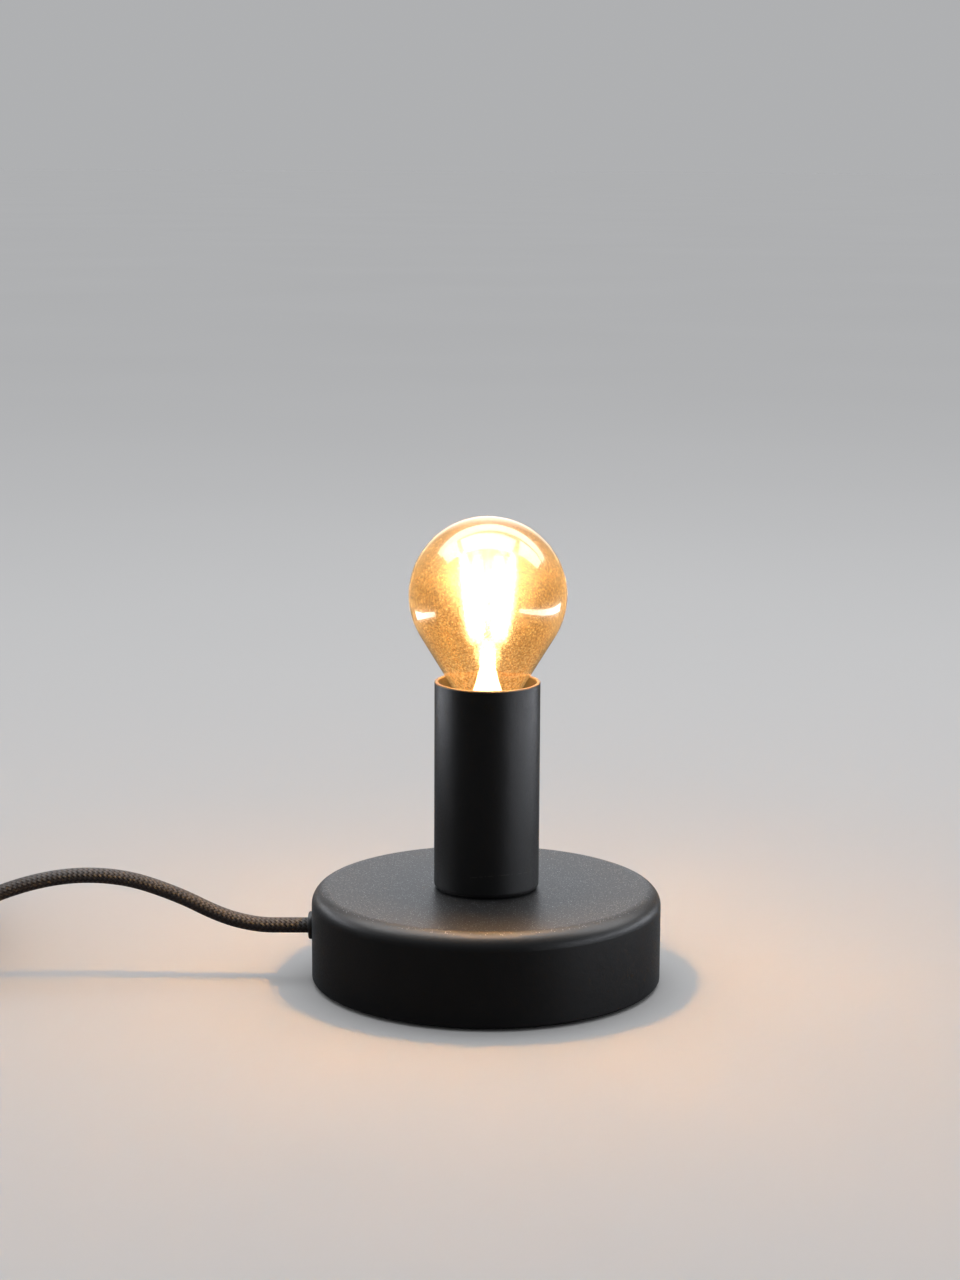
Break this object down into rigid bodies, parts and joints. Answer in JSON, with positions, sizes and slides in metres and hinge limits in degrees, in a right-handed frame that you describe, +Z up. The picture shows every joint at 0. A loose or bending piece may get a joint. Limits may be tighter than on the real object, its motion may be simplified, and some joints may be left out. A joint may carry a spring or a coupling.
{
  "type": "table lamp",
  "caption": "Small table lamp: weighted round base, straight sleeve around the lamp holder, bare globe bulb that screws in, textile cord with a rocker switch and a flat plug.",
  "frame": {"origin": "under the middle of the base, on the surface that the lamp stands on", "axes": "+Z up along the sleeve and bulb; the cord leaves towards -X; the camera of the picture looks along +Y"},
  "size_m": [0.2905, 0.1387, 0.1338],
  "materials": {
    "black_coat": "matte textured powder coat",
    "cast_iron": "as cast",
    "zinc_steel": "zinc plated",
    "brass": "plain",
    "nickel": "nickel plated brass",
    "bulb_cap_metal": "nickel plated, threaded",
    "black_plastic": "matte moulded",
    "holder_plastic": "moulded thermoset",
    "foot_foam": "soft foam pad",
    "cord_cloth": "braided textile sleeve",
    "brown_insulation": "smooth",
    "blue_insulation": "smooth",
    "amber_glass": "tinted amber",
    "clear_glass": "clear",
    "phosphor": "yellow coated filament, lit",
    "cement": "chalky",
    "black_glass": "glossy vitrite",
    "circuit_board": "solder mask"
  },
  "bodies": {
    "root": {"base_shell": "black_coat", "lamp_sleeve": "black_coat", "base_weight": "cast_iron", "bottom_plate": "zinc_steel", "plate_screws": "zinc_steel", "foot_pad": "foot_foam", "cord_grommet": "black_plastic", "cord_tail": "cord_cloth", "cord_clamp": "zinc_steel", "clamp_screws": "zinc_steel", "threaded_nipple": "zinc_steel", "nipple_nut": "zinc_steel", "star_washer": "zinc_steel", "holder_cap": "holder_plastic", "holder_skirt": "holder_plastic", "contact_block": "holder_plastic", "screw_shell": "nickel", "centre_contact": "brass", "side_contact": "brass", "terminal_screws": "brass", "wire_live": "brown_insulation", "wire_neutral": "blue_insulation", "switch_base": "black_plastic", "switch_cover": "black_plastic", "switch_contacts": "brass", "switch_terminal_screws": "brass", "switch_cover_screws": "zinc_steel", "switch_cord_clamps": "black_plastic", "switch_cord_ends": "cord_cloth", "switch_wires": "brown_insulation", "plug_body": "black_plastic", "plug_pins": "nickel", "plug_pin_sleeves": "black_plastic", "plug_strain_relief": "black_plastic", "cord_lamp_side": "cord_cloth", "cord_plug_side": "cord_cloth", "cord_coil": "cord_cloth", "cord_plug_end": "cord_cloth"},
    "bulb_lift": {"bulb_tip_contact": "nickel", "bulb_cap_insulator": "black_glass"},
    "bulb": {"bulb_glass": "amber_glass", "bulb_cap": "bulb_cap_metal", "basing_cement": "cement", "bulb_stem": "clear_glass", "bulb_filaments": "phosphor", "filament_wires": "nickel", "driver_board": "circuit_board"},
    "rocker": {"switch_rocker": "black_plastic", "switch_bridge": "brass"}
  },
  "joints": [
    {"name": "bulb_lift", "type": "slide", "parent": "root", "child": "bulb_lift", "axis": [0, 0, 1], "range_m": [0, 0.0114]},
    {"name": "bulb_turn", "type": "hinge", "parent": "bulb_lift", "child": "bulb", "pos_m": [0, 0, 0], "axis": [0, 0, 1], "range_deg": [0, 1440]},
    {"name": "rocker", "type": "hinge", "parent": "root", "child": "rocker", "pos_m": [-0.2285, 0.011, 0.0144], "axis": [1, 0, 0], "range_deg": [0, 22]}
  ],
  "couplings": [
    {"joint": "bulb_lift", "follows": "bulb_turn", "m_per_rad": 0.00044913}
  ]
}
